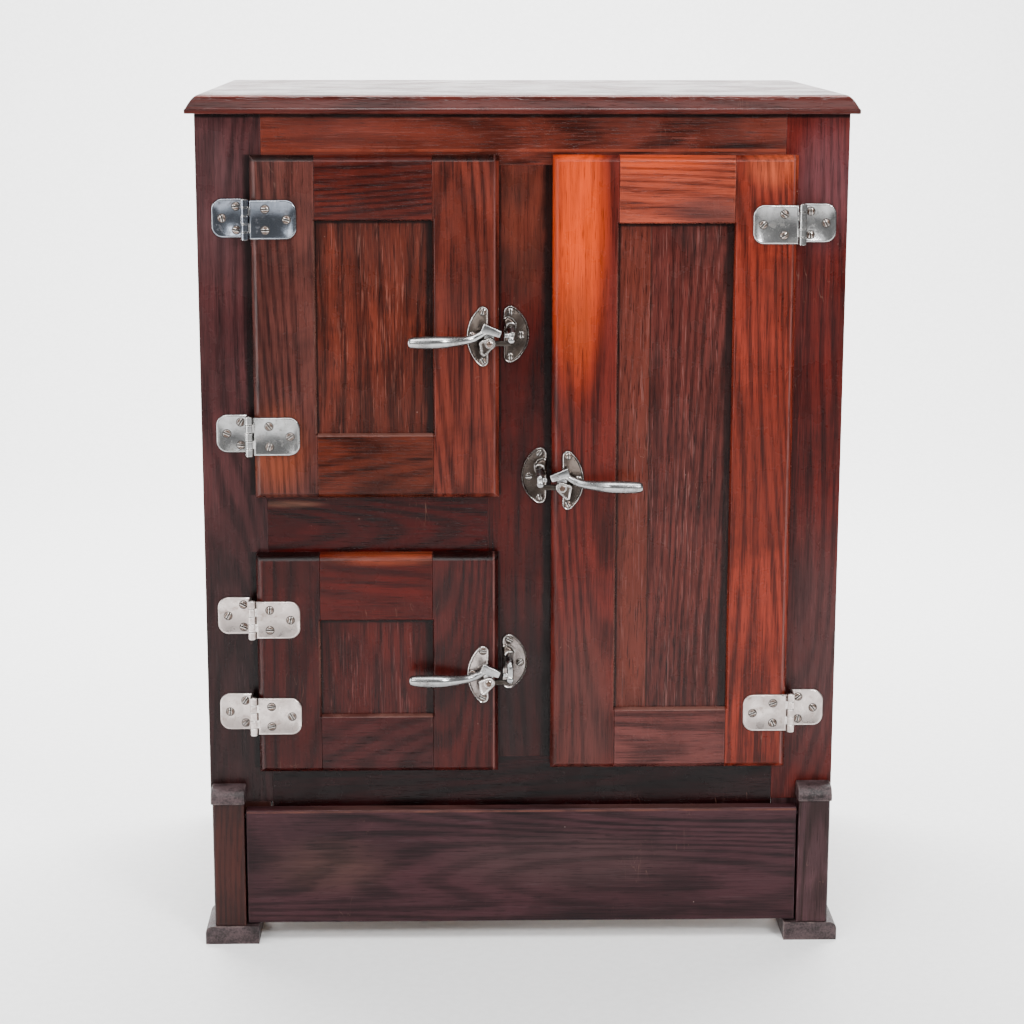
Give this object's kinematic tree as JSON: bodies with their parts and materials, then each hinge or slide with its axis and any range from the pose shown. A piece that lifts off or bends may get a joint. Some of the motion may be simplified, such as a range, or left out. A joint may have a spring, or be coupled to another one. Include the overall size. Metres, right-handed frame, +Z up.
{
  "type": "wooden icebox",
  "caption": "Free-standing wooden ice-cooled cabinet with framed doors, surface hinges, lever latches, sheet-lined chambers and a hinged kick board on four legs.",
  "frame": {"origin": "on the floor under the middle of the whole object's bounding box, the latch levers included", "axes": "+Z up, front (doors) faces -Y, +X to the right seen from the front"},
  "size_m": [0.762, 0.5351, 1.0025],
  "materials": {
    "case_wood": "red-brown stain under worn gloss varnish",
    "kick_wood": "dark worn stain, scuffed",
    "leg_wood": "dark stain, worn edges",
    "plain_wood": "bare pine, dull",
    "cork": "pressed granulated cork",
    "zinc": "dull galvanised sheet",
    "nickel": "worn nickel plate over cast brass"
  },
  "bodies": {
    "case": {"back_panel": "plain_wood", "bottom_rail": "case_wood", "case_floor": "plain_wood", "centre_stile": "case_wood", "cold_air_drop": "zinc", "drain_pipe": "zinc", "drip_pan": "zinc", "food_chamber_liner": "zinc", "food_door_keeper": "nickel", "food_door_lower_hinge_frame_leaf": "nickel", "food_door_upper_hinge_frame_leaf": "nickel", "front_left_leg": "leg_wood", "front_right_leg": "leg_wood", "ice_chamber_liner": "zinc", "ice_door_keeper": "nickel", "ice_door_lower_hinge_frame_leaf": "nickel", "ice_door_upper_hinge_frame_leaf": "nickel", "ice_rack": "plain_wood", "insulation_fill": "cork", "left_side_panel": "case_wood", "left_stile": "case_wood", "lower_air_duct": "zinc", "lower_chamber_liner": "zinc", "lower_chamber_shelf": "zinc", "lower_door_keeper": "nickel", "lower_door_lower_hinge_frame_leaf": "nickel", "lower_door_upper_hinge_frame_leaf": "nickel", "lower_food_shelf": "zinc", "middle_rail": "case_wood", "rear_left_leg": "leg_wood", "rear_right_leg": "leg_wood", "right_side_panel": "case_wood", "right_stile": "case_wood", "top_board": "case_wood", "top_rail": "case_wood", "upper_air_duct": "zinc", "upper_food_shelf": "zinc"},
    "ice_door": {"ice_door_frame": "case_wood", "ice_door_latch_plate": "nickel", "ice_door_lower_hinge_door_leaf": "nickel", "ice_door_panel": "case_wood", "ice_door_plug": "plain_wood", "ice_door_upper_hinge_door_leaf": "nickel"},
    "lower_door": {"lower_door_frame": "case_wood", "lower_door_latch_plate": "nickel", "lower_door_lower_hinge_door_leaf": "nickel", "lower_door_panel": "case_wood", "lower_door_plug": "plain_wood", "lower_door_upper_hinge_door_leaf": "nickel"},
    "food_door": {"food_door_frame": "case_wood", "food_door_latch_plate": "nickel", "food_door_lower_hinge_door_leaf": "nickel", "food_door_panel": "case_wood", "food_door_plug": "plain_wood", "food_door_upper_hinge_door_leaf": "nickel"},
    "ice_lever": {"ice_door_latch_lever": "nickel"},
    "lower_lever": {"lower_door_latch_lever": "nickel"},
    "food_lever": {"food_door_latch_lever": "nickel"},
    "kick_board": {"kick_board": "kick_wood"}
  },
  "joints": [
    {"name": "ice_door_hinge", "type": "hinge", "parent": "case", "child": "ice_door", "pos_m": [-0.3142, -0.2384, 0.73935], "axis": [0, 0, -1], "range_deg": [0, 160]},
    {"name": "lower_door_hinge", "type": "hinge", "parent": "case", "child": "lower_door", "pos_m": [-0.3155, -0.2384, 0.3436], "axis": [0, 0, -1], "range_deg": [0, 160]},
    {"name": "food_door_hinge", "type": "hinge", "parent": "case", "child": "food_door", "pos_m": [0.317, -0.2384, 0.57545], "axis": [0, 0, 1], "range_deg": [0, 160]},
    {"name": "ice_lever_pivot", "type": "hinge", "parent": "ice_door", "child": "ice_lever", "pos_m": [-0.039, -0.2462, 0.7241], "axis": [0, 1, 0], "range_deg": [0, 40]},
    {"name": "lower_lever_pivot", "type": "hinge", "parent": "lower_door", "child": "lower_lever", "pos_m": [-0.04, -0.2462, 0.3238], "axis": [0, 1, 0], "range_deg": [0, 40]},
    {"name": "food_lever_pivot", "type": "hinge", "parent": "food_door", "child": "food_lever", "pos_m": [0.045, -0.2462, 0.5566], "axis": [0, -1, 0], "range_deg": [0, 40]},
    {"name": "kick_board_hinge", "type": "hinge", "parent": "case", "child": "kick_board", "pos_m": [0, -0.2274, 0.1563], "axis": [-1, 0, 0], "range_deg": [0, 85]}
  ]
}
